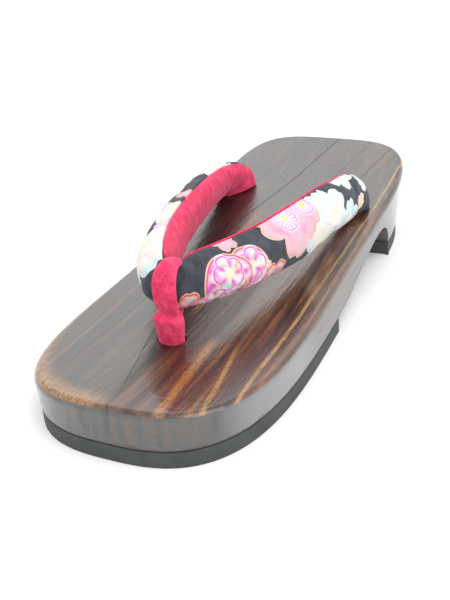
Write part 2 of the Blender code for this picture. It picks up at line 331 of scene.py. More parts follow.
# %% [markdown]
# ## Floor and light
#
# Large soft boxes over white paper light a product picture like this. The lacquered top is seen at a low
# angle, so it mirrors what stands behind it: the white surrounding and one high box give the wood its grey
# sheen. A second box, high on the right, lights the strap and the long wall.

# %% Floor and soft boxes
FLOOR_SIZE = 6.0
BOXES = (
    ("soft_box_behind", (-0.85, 1.15, 1.15), (1.7, 0.95), 3.5),
    ("soft_box_right", (0.80, -0.30, 1.20), (1.1, 1.1), 10),
)

deselect()
bpy.ops.mesh.primitive_plane_add(size=FLOOR_SIZE)
floor = named("floor")
paper, tree, shader = finish("white_paper", Base_Color=linear("efefef"), Roughness=0.9)
floor.data.materials.append(paper)

for name, place, size, watts in BOXES:
    deselect()
    bpy.ops.object.light_add(type="AREA", location=place)
    box = bpy.context.object
    box.name = name
    box.data.shape = "RECTANGLE"
    box.data.size, box.data.size_y = size
    box.data.energy = watts
    box.rotation_euler = (-Vector(place)).to_track_quat("-Z", "Y").to_euler()

world = bpy.context.scene.world or bpy.data.worlds.new("surrounding")
bpy.context.scene.world = world
world.use_nodes = True
world.node_tree.nodes["Background"].inputs["Color"].default_value = linear("f6f7f8")
world.node_tree.nodes["Background"].inputs["Strength"].default_value = 1.4
bpy.context.scene.view_settings.view_transform = "Standard"
print("lights:", [box[0] for box in BOXES])

# %% [markdown]
# ## The wooden base
#
# A geta's base is sawn from one plank. Its plan is blunt and rounded, its top is hollowed along its length,
# and a notch under the arch leaves a long front block and a heel block. A circle is moved onto the plan,
# extruded to a slab, bevelled, and bisected into strips, which can follow the hollowed line.

# %% Sizes of the base
LENGTH = 0.230
WAIST_WIDTH = 0.0865
END_FLARE = 0.25
TOE_BIAS = 0.05
ROUNDNESS = {"toe": (2.75, 2.90), "heel": (3, 3.80)}
WALL_DRAFT = 0.0006
EDGE_RADIUS = 0.0029
TOE_HEIGHT = 0.0200
HEEL_HEIGHT = 0.0373
TOP_HOLLOW = 0.0079
UNDERSIDE = 0.0063
OUTLINE_POINTS = 192
SLAB_TOP = 0.0800
STRIPS = 46


def wood_top(y):
    """Height of the wood's top face: level over the front, then a hollow climb to the heel."""
    share = y / LENGTH + 0.5
    return mix(TOE_HEIGHT, HEEL_HEIGHT, share) - TOP_HOLLOW * 4 * share * (1 - share)


def half_width(y):
    """Half the width of the plan at y, which goes from -1 at the toe to 1 at the heel."""
    return WAIST_WIDTH / 2 * (1 - TOE_BIAS * y + END_FLARE * y * y)


def plan_point(angle, height_share):
    """A point of the plan at a polar angle, between the floor outline (0) and the top outline (1)."""
    across, along = math.cos(angle), math.sin(angle)
    power = mix(*ROUNDNESS["toe" if along < 0 else "heel"], height_share)
    radius = (abs(across) ** power + abs(along) ** power) ** (-1 / power)
    y = radius * along
    return radius * across * (half_width(y) - WALL_DRAFT * height_share), y * LENGTH / 2


print("top at toe, middle and heel in mm:", [round(1000 * wood_top(y), 1) for y in (-0.115, 0, 0.115)])

# %% Slab with a rounded upper edge
def move_onto_plan(obj, height_share, z):
    """Place the selected ring of the unit circle on the plan."""
    mesh = bmesh.from_edit_mesh(obj.data)
    for vertex in mesh.verts:
        if vertex.select:
            angle = math.atan2(vertex.co.y, vertex.co.x)
            vertex.co = (*plan_point(angle, height_share), z)
    bmesh.update_edit_mesh(obj.data)


def plan_slab(name, low, high, top_share):
    """A flat slab of the plan, left in edit mode."""
    deselect()
    bpy.ops.mesh.primitive_circle_add(vertices=OUTLINE_POINTS, radius=1.0, fill_type="NGON")
    slab = named(name)
    edit_all()
    extrude(0, 0, 1)
    move_onto_plan(slab, top_share, high)
    select_where(slab, "VERT", lambda v: v.co.z < 0.5 * high)
    move_onto_plan(slab, 0, low)
    face_outwards()
    return slab


base = plan_slab("geta_base", UNDERSIDE, SLAB_TOP, 1)
select_where(base, "EDGE", lambda e: all(v.co.z > SLAB_TOP - 1e-6 for v in e.verts))
bpy.ops.mesh.bevel(offset=EDGE_RADIUS, segments=6, affect="EDGES")
for i in range(1, STRIPS):
    edit_all()
    bisect_at(LENGTH * (i / STRIPS - 0.5))
mesh = bmesh.from_edit_mesh(base.data)
for vertex in mesh.verts:
    drop = SLAB_TOP - vertex.co.z
    top = wood_top(vertex.co.y)
    if drop > EDGE_RADIUS:
        up_wall = (vertex.co.z - UNDERSIDE) / (SLAB_TOP - EDGE_RADIUS - UNDERSIDE)
        vertex.co.z = mix(UNDERSIDE, top - EDGE_RADIUS, up_wall)
    else:
        vertex.co.z = top - drop
bmesh.update_edit_mesh(base.data)
deselect()
print("slab:", len(base.data.vertices), "vertices")

# %% [markdown]
# The notch and the holes are cut with modifiers. The notch's section is a ring of points, extruded right
# across; the holes are cylinders. A narrow bevel then breaks every sawn edge, because a perfectly sharp edge
# never catches the light. Weighted normals keep the small bevels from denting the mirror of the lacquer.

# %% Notch and holes
NOTCH_FRONT_Y = -0.0140
NOTCH_CREST_Y = 0.0480
HEEL_FACE_Y = 0.0610
NOTCH_CREST_Z = 0.0173
NOTCH_CORNER_DROP = 0.0100
NOTCH_RISE_LAG = 1.15
FRONT_HOLE_Y = -0.0677
FRONT_HOLE_RADIUS = 0.0051
FRONT_HOLE_SQUEEZE = 0.84
REAR_HOLE_X = 0.0305
REAR_HOLE_Y = 0.0545
REAR_HOLE_RADIUS = 0.0045
KNOT_POCKET_RADIUS = 0.0120
KNOT_POCKET_ROOF = 0.0080
SAWN_EDGE = 0.0005
NOTCH_REACH = 0.1
BORE_TOP = 0.06


def notch_section():
    """The notch from the side, as (y, z): a slow rise from the front, then a round corner at the heel."""
    points = [(HEEL_FACE_Y, 0), (NOTCH_FRONT_Y, 0)]
    for i in range(29):
        lagged = (i / 28) ** NOTCH_RISE_LAG
        eased = lagged * lagged * (3 - 2 * lagged)
        points.append((mix(NOTCH_FRONT_Y, NOTCH_CREST_Y, i / 28), mix(UNDERSIDE, NOTCH_CREST_Z, eased)))
    for i in range(1, 13):
        quarter = math.pi / 2 * i / 12
        y = mix(NOTCH_CREST_Y, HEEL_FACE_Y, math.sin(quarter))
        points.append((y, NOTCH_CREST_Z - NOTCH_CORNER_DROP * (1 - math.cos(quarter))))
    return points


def cut(obj, tool):
    """Cut the tool out of the object, and delete the tool."""
    finish_modifier(obj, "BOOLEAN", operation="DIFFERENCE", solver="EXACT", object=tool)
    bpy.data.objects.remove(tool)


def bore(name, x, y, radius, low, high, squeeze=1.0):
    """A cylinder that cuts a hole; squeezed, it is an oval that is wider across the sandal."""
    deselect()
    middle = (x, y, (low + high) / 2)
    bpy.ops.mesh.primitive_cylinder_add(vertices=48, radius=radius, depth=high - low, location=middle,
                                        scale=(1, squeeze, 1))
    return named(name)


section = notch_section()
deselect()
bpy.ops.mesh.primitive_circle_add(vertices=len(section), radius=1.0, fill_type="NGON")
notch = named("notch")
for vertex, (y, z) in zip(notch.data.vertices, section):
    vertex.co = (-NOTCH_REACH, y, z)
edit_all()
extrude(2 * NOTCH_REACH, 0, 0)
face_outwards()
deselect()
cut(base, notch)
pocket_roof = wood_top(FRONT_HOLE_Y) - KNOT_POCKET_ROOF
cut(base, bore("front_bore", 0, FRONT_HOLE_Y, FRONT_HOLE_RADIUS, 0, BORE_TOP, FRONT_HOLE_SQUEEZE))
cut(base, bore("knot_pocket", 0, FRONT_HOLE_Y, KNOT_POCKET_RADIUS, 0, pocket_roof))
for x in (-REAR_HOLE_X, REAR_HOLE_X):
    cut(base, bore("rear_bore", x, REAR_HOLE_Y, REAR_HOLE_RADIUS, 0, BORE_TOP))
break_edges(base, SAWN_EDGE)
finish_modifier(base, "WEIGHTED_NORMAL", keep_sharp=True)
print("base:", len(base.data.polygons), "faces")

# %% [markdown]
# ## Burnt and lacquered wood
#
# The plank is softwood that was scorched and brushed. Its soft lines burn dark, and its hard lines stay
# golden and stand up a little. All of it runs along the sandal. So colour and relief come from noise that is
# stretched along Y, with a few strong streaks listed one by one, and a clear lacquer coat gives the gloss.
#
# Two masks tell the material where it is. One is the depth below the top, because the walls are greyer and
# paler. The other is the nearness to the outline, where the char is thin and tan wood shows.

# %% Places on the wood
# Golden and dark lines on the top: x and y of a point on the line, its lean, width, colour, strength, reach
STREAKS = (
    (17, -100, -0.081, 2.6, "94632c", 0.90, -122, -58),
    (29, -99, -0.145, 1.3, "a07438", 0.85, -122, -62),
    (23.4, -50, -0.060, 0.9, "6e4a28", 0.70, -74, 20),
    (36.7, -60, -0.010, 1, "a67c44", 0.90, -116, -10),
    (37.6, 23, 0.030, 0.8, "a07440", 0.80, -24, 116),
    (33, -60, -0.040, 1.2, "1e0e08", 0.85, -112, 70),
    (40.8, -20, 0.006, 0.7, "7e5630", 0.60, -90, 100),
    (9.5, -100, -0.110, 0.7, "5a3220", 0.70, -118, -70),
    (-24, -60, 0.030, 0.5, "5a3d24", 0.40, -112, 40),
    (-33, -20, -0.020, 1.2, "6e4c28", 0.55, -108, 90),
    (-12, 8, 0.060, 2.2, "7e4f20", 0.80, -44, 44),
    (2, 0, 0.080, 1.4, "94622a", 0.80, -56, 56),
    (12, 4, 0.070, 1, "6e431c", 0.70, -60, 50),
)

# Fine open lines in the lacquer, where the plank has shrunk: they stay dull and dark
CRACKS = (
    (-1.4, -97, -0.240, 0.40, "1a1009", 0.75, -108, -40),
    (-3.2, 84, 0.235, 0.50, "150d08", 0.90, 24, 122),
    (27.2, 88, 0.215, 0.45, "2c1f14", 0.70, 34, 118),
    (-25, -70, 0.020, 0.35, "1c120b", 0.45, -104, 60),
    (13, 78, 0.225, 0.35, "20150d", 0.45, 30, 118),
    (-21, 72, 0.200, 0.35, "20150d", 0.45, 10, 116),
)

# Ovals on the top, as x and y of the middle and the two radii: where the lacquer is duller, and where orange
# specks of painted glint are laid on the char between the arms
FOOTPRINT = (5, -36, 11, 76)
STRAP_INSIDE = (-1, -2, 15, 36)
STREAK_FADE = 14.0


def oval(across, along, place):
    """The distance from an oval's middle, as a share of its radius."""
    x, y, radius_x, radius_y = place
    x_share, y_share = (across - x) / radius_x, (along - y) / radius_y
    return (x_share * x_share + y_share * y_share).calc("SQRT")


def streak_share(across, along, wobble, x, y, lean, width, from_y, to_y):
    """1 on the line and 0 beside it, fading out at both ends of its reach."""
    near = between(abs(across - (along * lean + (x - lean * y)) - wobble), width, width * 0.25)
    start = between(along, from_y, from_y + STREAK_FADE)
    end = between(along, to_y, to_y - STREAK_FADE)
    return near * (start * end)


def nearness_to_outline(across, along, power=2.9):
    """0 in the middle of the plan and 1 on its outline."""
    y = along * (2 / (1000 * LENGTH))
    x = across / (half_width(y) * 1000)
    return (abs(x) ** power + abs(y) ** power) ** (1 / power)


print("streaks:", len(STREAKS))

# %% Wood finish
def top_colour(place, across, along, fibres, tone, speckle):
    """Char with brown in it, painted glints as orange specks, streaks, cracks and a rubbed edge; and the
    share of the cracks.
    """
    charred = ramp(tone, (0.38, "120b08"), (0.49, "20150f"), (0.57, "33241a"), (0.68, "54402c"))
    brown = ramp(tone, (0.38, "1c0e08"), (0.46, "371e12"), (0.53, "57321b"), (0.60, "754a22"),
                 (0.70, "9a6e32"))
    forwards = between(along, 20, 75) * -0.75 + 1.0
    rightwards = between(along, -88, -56) * -18.0 + across
    colour = over(between(rightwards, -10, 12) * forwards, charred, brown)
    # Orange specks between the arms are painted glints: light caught on the raised grain, painted into the
    # colour.
    painted_glints = between(noise(place, (1.3, 4.5, 1.3), 1), 0.57, 0.66)
    inside_strap = between(oval(across, along, STRAP_INSIDE), 1.1, 0.7)
    colour = over(painted_glints * inside_strap * 0.8, colour, "9a5c26")
    broken = between(fibres * 0.5 + speckle * 0.5, 0.36, 0.56)
    small_sway = noise(place, (40, 45, 40), 1) * 2.4 - 1.2
    cracked = 0.0
    for row in STREAKS + CRACKS:
        x, y, lean, width, hue, strength, from_y, to_y = row
        share = streak_share(across, along, small_sway, x, y, lean, width, from_y, to_y) * strength
        if row in CRACKS:
            cracked = share.calc("MAXIMUM", cracked)
        else:
            share = share * (broken * 0.6 + 0.4)
        colour = over(share, colour, hue)
    rubbed = between(nearness_to_outline(across, along), 0.91, 0.985) * between(across, 6, -10)
    rubbed = rubbed * between(along, -20, -80) * (broken * 0.8 + 0.2)
    return over(rubbed, colour, "96693a"), cracked


def wall_colour(place, across, along, up, speckle):
    """Greyer wood with long lines on the sides, upright streaks at both ends, a painted reflection on the
    right front corner, and a dark lower edge.
    """
    long_lines = noise(place, (26, 55, 1.7), 3)
    drips = noise(place, (3.4, 3.4, 16), 3)
    end_wall = between(abs(along), 84, 106)
    grain = end_wall * (drips - long_lines) + long_lines
    tone = long_lines * 0.25 + speckle * 0.15 + grain * 0.60
    wall = ramp(tone, (0.38, "3e3e40"), (0.49, "4d4d4d"), (0.56, "564d47"), (0.66, "6b5240"))
    under_arch = between(along, -50, -20) * between(along, 44, 22)
    wall = over(under_arch * 0.4, wall, "50382a")
    # A pale blue-grey patch on the right front wall is a painted reflection of the bright surroundings.
    painted_reflection_right = between(across, 32, 41) * between(along, -35, -62)
    wall = over(painted_reflection_right * 0.6, wall, "808386")
    above_foot = drips * -4.0 + (up - (1000 * UNDERSIDE - 1.6))
    return over(between(above_foot, 0.9, 0) * 0.7, wall, "2a201b")


def wood_finish():
    """Scorched softwood under clear lacquer."""
    made, tree, shader = finish("burnt_lacquered_softwood", Roughness=0.42, Specular_IOR_Level=0.35,
                                Coat_Roughness=0.12, Coat_IOR=1.54)
    place = millimetres(tree)
    across, along, up = parts_of(place)
    sway = noise(place, (30, 90, 30), 2) * 5.0 - 2.5
    swayed = wire(tree, "CombineXYZ", {"X": sway})
    place_in_grain = wire(tree, "VectorMath", {0: place, 1: swayed})
    bands = noise(place_in_grain, (7, 150, 7), 2)
    lines = noise(place_in_grain, (1.5, 60, 2.2), 3)
    fibres = noise(place_in_grain, (0.5, 9, 0.7), 2)
    speckle = noise(place, (0.9, 1.8, 0.9), 2)
    tone = bands * 0.40 + lines * 0.34 + fibres * 0.16 + speckle * 0.10
    top, cracked = top_colour(place, across, along, fibres, tone, speckle)
    wall = wall_colour(place, across, along, up, speckle)
    depth = wood_top(along / 1000) * 1000 - up
    dull = between(bands * 0.8 + oval(across, along, FOOTPRINT) - 0.4, 1.15, 0.75)
    gloss = between(along, -70, 40) * 0.09 + 0.91
    gloss = gloss * (dull * -0.5 + 1) * (cracked * -0.85 + 1)
    ripples = noise(place, (16, 2.2, 16), 1)
    bump = relief(lines * 0.55 + fibres * 0.35 + ripples * 0.22, 0.00020)
    colour = over(between(depth, 0.6, 1.6), top, wall)
    feed(shader, Base_Color=colour, Coat_Weight=gloss, Normal=bump, Coat_Normal=bump)
    return made


wood = wood_finish()
base.data.materials.append(wood)
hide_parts("wooden_base")
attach(base, "root")
print("wood nodes:", len(wood.node_tree.nodes))

# %% [markdown]
# ## Rubber soles
#
# Two pads of black rubber are glued under the blocks, flush with the wood. Their tread is a field of shallow
# cross grooves inside a plain rim, so that no groove shows from the side. The rim is an inset of the bottom
# face, the field is bisected at each groove, and the narrow strips are pushed in.

# %% Pads
RUBBER_THICKNESS = 0.0060
TREAD_RIM = 0.0045
TREAD_PITCH = 0.0050
GROOVE_WIDTH = 0.0016
GROOVE_DEPTH = 0.0009
RUBBER_EDGE = 0.0003


def rubber_pad(name, start_y, end_y):
    """A pad of the plan between two crosswise cuts, with a grooved tread underneath."""
    def on_field(face):
        """True for a bottom face inside the plain rim; it reaches right across, so its middle is central."""
        middle = face.calc_center_median()
        return (face.normal.z < -0.9 and start_y + TREAD_RIM < middle.y < end_y - TREAD_RIM
                and abs(middle.x) < 0.010 and all(abs(v.co.z) < 1e-6 for v in face.verts))

    def is_groove(face):
        reach = [v.co.y for v in face.verts]
        return on_field(face) and max(reach) - min(reach) < GROOVE_WIDTH * 1.2 and len(face.verts) < 40

    pad = plan_slab(name, 0, RUBBER_THICKNESS, 0)
    for y, outwards in ((start_y, -1), (end_y, 1)):
        if abs(y) < LENGTH / 2:
            edit_all()
            bisect_at(y, outwards, use_fill=True, clear_outer=True)
    select_where(pad, "FACE", lambda f: f.normal.z < -0.9)
    bpy.ops.mesh.inset(thickness=TREAD_RIM, depth=0)
    first = max(start_y, -LENGTH / 2) + TREAD_RIM + TREAD_PITCH
    last = min(end_y, LENGTH / 2) - TREAD_RIM - TREAD_PITCH
    for i in range(int((last - first) / TREAD_PITCH) + 1):
        for edge in (first + i * TREAD_PITCH, first + i * TREAD_PITCH + GROOVE_WIDTH):
            select_where(pad, "FACE", on_field)
            bisect_at(edge)
    found = select_where(pad, "FACE", is_groove)
    extrude(0, 0, GROOVE_DEPTH)
    deselect()
    print(name, "grooves:", found)
    return pad


front_pad = rubber_pad("front_rubber", -0.2, NOTCH_FRONT_Y)
cut(front_pad, bore("knot_opening", 0, FRONT_HOLE_Y, KNOT_POCKET_RADIUS, -0.001, RUBBER_THICKNESS + 0.001))
heel_pad = rubber_pad("heel_rubber", HEEL_FACE_Y, 0.2)
for pad in (front_pad, heel_pad):
    break_edges(pad, RUBBER_EDGE)

# %% [markdown]
# Rubber is dull and nearly black, but never a flat colour: its skin is faintly mottled and slightly rough.

# %% Rubber finish
rubber, tree, shader = finish("black_rubber", Roughness=0.72, Specular_IOR_Level=0.4)
place = millimetres(tree)
mottle = ramp(noise(place, (9, 9, 9), 4), (0.30, "393b3b"), (0.70, "454747"))
feed(shader, Base_Color=mottle, Normal=relief(noise(place, (0.5, 0.5, 0.5), 2), 0.00006))
for pad, node in ((front_pad, "front_rubber_sole"), (heel_pad, "heel_rubber_sole")):
    pad.data.materials.append(rubber)
    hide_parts(node)
    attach(pad, "root")

# %% [markdown]
# ## The line of the strap
#
# The strap is one padded band that is folded into a V. Each row of the table is one section of its right
# arm, from the nose between the toes to the hole beside the heel: a flat slice between an upper and a lower
# seam. A smooth curve through the rows gives as many sections as a fine mesh needs.

# %% Sections of the strap
NOSE_Y = -0.0660
STRAP_RISE = 0.0300
STRAP_BULGE = 0.0080
LINING_BULGE = 0.0034
CLOTH_GAP = 0.0002
ROWS_PER_SECTION = 8
# For the upper and then the lower seam: shares of the way from nose to hole, of the hole's distance from the
# middle, and of STRAP_RISE over the wood; then shares of the outer bulge and of the foot's side
ARM = (
    (0, 0, 0.940, 0, 0, 0.370, 0.46, 0),
    (0.036, 0.098, 0.962, 0.018, 0.164, 0.343, 0.70, 0.15),
    (0.091, 0.213, 0.992, 0.083, 0.289, 0.297, 0.92, 0.55),
    (0.174, 0.370, 0.990, 0.170, 0.407, 0.247, 1, 0.90),
    (0.299, 0.548, 0.963, 0.299, 0.574, 0.190, 1, 1),
    (0.423, 0.662, 0.930, 0.423, 0.731, 0.147, 0.94, 1),
    (0.548, 0.744, 0.880, 0.548, 0.843, 0.123, 0.86, 1),
    (0.672, 0.797, 0.820, 0.672, 0.925, 0.093, 0.79, 1),
    (0.797, 0.846, 0.712, 0.788, 1.013, 0.053, 0.68, 1),
    (0.905, 0.856, 0.590, 0.863, 1.062, 0.025, 0.60, 1),
    (1, 0.826, 0.430, 0.909, 1.108, 0.020, 0.57, 0.95),
    (1.060, 0.787, 0.230, 0.934, 1.148, 0.016, 0.57, 0.90),
    (1.077, 0.757, 0.010, 0.943, 1.161, 0.010, 0.58, 0.85),
)


def arm_section(index):
    """Upper seam, lower seam, bulge and belly of one row; rows before the nose mirror those after."""
    *seams, bulge, belly = ARM[min(abs(index), len(ARM) - 1)]
    points = []
    for along, out, rise in (seams[:3], seams[3:]):
        y = mix(NOSE_Y, REAR_HOLE_Y, along)
        x = math.copysign(REAR_HOLE_X * out, index)
        points.append(Vector((x, y, wood_top(y) + STRAP_RISE * rise)))
    return *points, STRAP_BULGE * bulge, LINING_BULGE * belly


# The soft arms don't lie as mirror images. At shares of the arm's sections, counted from the nose, in mm: the
# rise of the right arm's upper and lower seams; then the whole left arm across, its upper seam across and up,
# its lower seam up, and its extra bulge
SETTLED = (
    (0, 0, 0.5, 0, 0, 0, 0.5, 0),
    (0.10, -0.4, 1.3, -1.3, 0.3, 0, 0.8, 0),
    (0.30, -0.5, 1.4, -2.1, 1.2, 0, 1.6, 0),
    (0.50, 0, 0.8, -1.8, 1.3, 0.4, 2.4, 0.5),
    (0.75, 0, 0, -1.6, 1, 1.2, 2.7, 0.8),
    (0.90, 0, 0, -0.8, 0.6, 0.8, 1.3, 0.3),
    (1, 0, 0, 0, 0, 0, 0, 0),
)


def settle(frame, share, left):
    """One section, moved to where the soft arm lies."""
    upper, lower, bulge, belly, outward = frame
    for before, after in zip(SETTLED, SETTLED[1:]):
        if share <= after[0]:
            break
    part = (share - before[0]) / (after[0] - before[0])
    part = part * part * (3 - 2 * part)
    moves = [mix(a, b, part) / 1000 for a, b in zip(before[1:], after[1:])]
    run = (upper - lower).cross(outward)
    if left:
        upper = upper + Vector((moves[2] + moves[3], 0, moves[4]))
        lower = lower + Vector((moves[2], 0, moves[5]))
        bulge = bulge + moves[6]
    else:
        upper = upper + Vector((0, 0, moves[0]))
        lower = lower + Vector((0, 0, moves[1]))
    return upper, lower, bulge, belly, run.cross(upper - lower).normalized()


def smooth_between(before, start, end, after, share):
    """A value on the smooth curve between start and end, guided by their neighbours."""
    square, cube = share ** 2, share ** 3
    return (start * (2 * cube - 3 * square + 1) + (end - before) * 0.5 * (cube - 2 * square + share)
            + end * (3 * square - 2 * cube) + (after - start) * 0.5 * (cube - square))


def arm_frames():
    """Upper seam, lower seam, bulge, belly and outward direction of every fine section of the right arm."""
    rows = []
    for index in range(len(ARM) - 1):
        guides = [arm_section(index + offset) for offset in (-1, 0, 1, 2)]
        for step in range(ROWS_PER_SECTION):
            rows.append([smooth_between(*parts, step / ROWS_PER_SECTION) for parts in zip(*guides)])
    rows.append(list(arm_section(len(ARM) - 1)))
    frames = []
    for i, (upper, lower, bulge, belly) in enumerate(rows):
        outward = Vector((0, -1, 0))
        if i:
            ahead = rows[min(i + 1, len(rows) - 1)]
            run = (ahead[0] + ahead[1]) - (rows[i - 1][0] + rows[i - 1][1])
            outward = run.cross(upper - lower).normalized()
        frames.append((upper, lower, bulge, belly, outward))
    return frames


def mirrored(vector):
    return Vector((-vector.x, vector.y, vector.z))


plain_arm = arm_frames()
shares = [i / (len(plain_arm) - 1) for i in range(len(plain_arm))]
right_arm = [settle(frame, share, False) for frame, share in zip(plain_arm, shares)]
left_arm = []
for (upper, lower, bulge, belly, outward), share in zip(plain_arm[1:], shares[1:]):
    frame = (mirrored(upper), mirrored(lower), bulge, belly, mirrored(outward))
    left_arm.append(settle(frame, share, True))
band = left_arm[::-1] + right_arm
crest = [upper.lerp(lower, 0.5) + outward * bulge for upper, lower, bulge, belly, outward in band]
run = [0.0]
for before, point in zip(crest, crest[1:]):
    run.append(run[-1] + (point - before).length)
ALONG = [1000 * (length - run[len(left_arm)]) for length in run]
print("each arm is", round(ALONG[-1]), "mm long, over", len(band), "sections")

# %% [markdown]
# ## The printed cover
#
# The cover starts as a flat grid, because a grid brings a tidy UV map along. Each row is rolled round one
# section of the band, and the seam is merged. The map is written in real millimetres: U runs along the arm
# from the nose, V round it from the middle of the outer side. So a print follows the cloth unstretched.
#
# Creases are listed in the same millimetres, as soft troughs (depth above zero) and ridges (below).

# %% Creases in the cover
# The cover is drawn in under the toe loop and into its rear holes, and bows a little where the arms bend:
# place along and around, turn, length, width and depth
CREASES = (
    (5.5, 6, 20, 5, 1.1, 0.55),
    (6, 1, 0, 4.5, 1.2, 0.45),
    (5.5, -4.5, -16, 4.5, 1, 0.50),
    (8.5, 3.6, 8, 4.5, 1.3, -0.30),
    (8.5, -2, -6, 4, 1.3, -0.25),
    (24, 7.5, 12, 13, 1.6, 0.30),
    (44, 8.5, 4, 16, 1.8, 0.28),
    (62, -7, -6, 15, 1.8, 0.25),
    (88, 7, 8, 14, 1.7, 0.32),
    (104, -5, -14, 12, 1.5, 0.30),
    (118, 5, 18, 10, 1.3, 0.50),
    (122, 0.5, 4, 9, 1.2, 0.55),
    (120, -4.5, -14, 8, 1.2, 0.50),
    (113, 2.5, 10, 8, 1.3, -0.25),
)


def fold_depth(folds, along, around):
    """How far folds sink the cloth at one place, in metres."""
    depth = 0.0
    for fold_along, fold_around, degrees, length, width, deep in folds:
        turn = math.radians(degrees)
        a, b = along - fold_along, around - fold_around
        down = (a * math.cos(turn) + b * math.sin(turn)) / length
        side = (b * math.cos(turn) - a * math.sin(turn)) / width
        depth += deep * math.exp(-down * down - side * side)
    return depth / 1000


print("creases:", len(CREASES))

# %% Roll a grid round a row of rings
WOOD_CLEARANCE = 0.0003


def on_wood(point):
    """The point, moved straight down or up onto the wood."""
    return Vector((point.x, point.y, wood_top(point.y) + WOOD_CLEARANCE))


def above_wood(point):
    """The point, lifted out of the wood if it would sink in."""
    return max(on_wood(point), point, key=lambda place: place.z)


def rolled_grid(name, rings, places, closed=False, held=None):
    """A tube from a flat grid: each row goes round one ring, and each corner's UV is its place in mm."""
    rows, sides = len(rings) - 1 + closed, len(rings[0])
    deselect()
    bpy.ops.mesh.primitive_grid_add(x_subdivisions=rows, y_subdivisions=sides, size=2, calc_uvs=True)
    tube = named(name)
    sewn = []
    for vertex in tube.data.vertices:
        i, j = round((vertex.co.x + 1) / 2 * rows), round((vertex.co.y + 1) / 2 * sides)
        vertex.co = rings[i % len(rings)][j % sides]
        if held and held(i, j % sides):
            sewn.append(vertex.index)
    if sewn:
        tube.vertex_groups.new(name="sewn").add(sewn, 1, "REPLACE")
    for corner in tube.data.uv_layers.active.data:
        corner.uv = places(round(corner.uv.x * rows), round(corner.uv.y * sides))
    edit_all()
    bpy.ops.mesh.remove_doubles(threshold=1e-7)
    if not closed:
        bpy.ops.mesh.fill_holes(sides=0)
    face_outwards()
    deselect()
    return tube


# %% [markdown]
# A padded tube of cloth is pushed out by its filling, and puckers a little where it is sewn. Blender's Cloth
# gives that. The seams and the hidden side are held, the rest is a little larger than its place, and pressure
# swells it. The solver is tuned for things as large as a cushion, so the mesh is simulated enlarged. No point
# may end up further from its place than a cap.

# %% Swell padded cloth
CLOTH_SCALE = 15.0
CLOTH_FRAMES = 20
CLOTH = {
    "vertex_group_mass": "sewn", "use_pressure": True, "uniform_pressure_force": 4, "quality": 6,
    "mass": 0.3, "tension_stiffness": 20, "compression_stiffness": 20, "bending_stiffness": 0.4,
}


def swell(obj, cap, slack=0.04):
    """Run the cloth simulation on one tube, and apply it."""
    pick(obj)
    places = [vertex.co.copy() for vertex in obj.data.vertices]
    for vertex in obj.data.vertices:
        vertex.co = vertex.co * CLOTH_SCALE
    step = obj.modifiers.new("cloth", "CLOTH")
    set_all(step.settings, CLOTH)
    step.settings.effector_weights.gravity = 0
    step.settings.shrink_min = -slack
    step.point_cache.frame_start = 1
    step.point_cache.frame_end = CLOTH_FRAMES
    for number in range(1, CLOTH_FRAMES + 1):
        bpy.context.scene.frame_set(number)
    bpy.ops.object.modifier_apply(modifier=step.name)
    bpy.context.scene.frame_set(1)
    furthest = 0.0
    for vertex, place in zip(obj.data.vertices, places):
        move = vertex.co / CLOTH_SCALE - place
        furthest = max(furthest, move.length)
        vertex.co = place + move * min(1, cap / max(move.length, 1e-9))
    print(obj.name, "swelled by up to", round(1000 * furthest, 2), "mm")


# %% Cover rings
OUTER_STEPS = 30
INNER_STEPS = 10
OUTER_FULLNESS = 0.9
INNER_FULLNESS = 0.8
INNER_STEP_MM = 1.5


def cover_row(frame, along):
    """One ring of the cover, with the distance of each of its points round the cloth in mm."""
    upper, lower, bulge, belly, outward = frame
    plain = []
    for i in range(OUTER_STEPS + 1):
        turn = math.pi * i / OUTER_STEPS
        fullness = math.sin(turn) ** OUTER_FULLNESS
        plain.append(lower.lerp(upper, (1 - math.cos(turn)) / 2) + outward * bulge * fullness)
    distances = [0.0]
    for before, point in zip(plain, plain[1:]):
        distances.append(distances[-1] + 1000 * (point - before).length)
    round_cloth = [length - distances[OUTER_STEPS // 2] for length in distances]
    ring = []
    for point, around in zip(plain, round_cloth):
        ring.append(above_wood(point - outward * fold_depth(CREASES, abs(along), around)))
    for i in range(1, INNER_STEPS):
        share = 1 - i / INNER_STEPS
        hollow = outward * belly * INNER_FULLNESS * math.sin(math.pi * share)
        ring.append(above_wood(lower.lerp(upper, share) - hollow))
        round_cloth.append(round_cloth[OUTER_STEPS] + INNER_STEP_MM * i)
    return ring, round_cloth + [round_cloth[-1] + INNER_STEP_MM]


cover_rows = [cover_row(frame, along) for frame, along in zip(band, ALONG)]
for end in (0, -1):
    ring = cover_rows[end][0]
    ring[:] = map(on_wood, ring)


def cover_is_sewn(i, j):
    """True at both seams, on the side that the lining hides, under the toe loop and at the ends."""
    return not 0 < j < OUTER_STEPS or abs(ALONG[i]) < 4 or not 2 < i < len(band) - 3


cover = rolled_grid("strap_cover_cloth", [row[0] for row in cover_rows],
                    lambda i, j: (ALONG[i], cover_rows[i][1][j]), held=cover_is_sewn)
swell(cover, 0.0012)
finish_modifier(cover, "SUBSURF", levels=1, render_levels=1)
smooth_shading(cover)
print("cover:", len(cover.data.polygons), "faces")

# %% [markdown]
# ## The print
#
# The cotton is charcoal, strewn with large blossoms: cherry flowers with notched petals, chrysanthemums, and
# plum flowers in ringed discs. One node group is a stamp: it draws one flower at a place on the UV map, over
# the colour that it is given. A table lays the stamps on the strap one after another, like a printer's
# blocks. Each arm has its own material, because one material can't hold so many stamps.

# %% A stamp for one flower
STAMP_NUMBERS = (
    "Blots", "U", "V", "Turn", "Radius", "Petals", "Waist", "Notch", "Line", "Heart size", "Wet", "Glow"
)
STAMP_COLOURS = ("Under", "Wash", "Petal", "Blush", "Tip", "Rim", "Edge", "Heart")


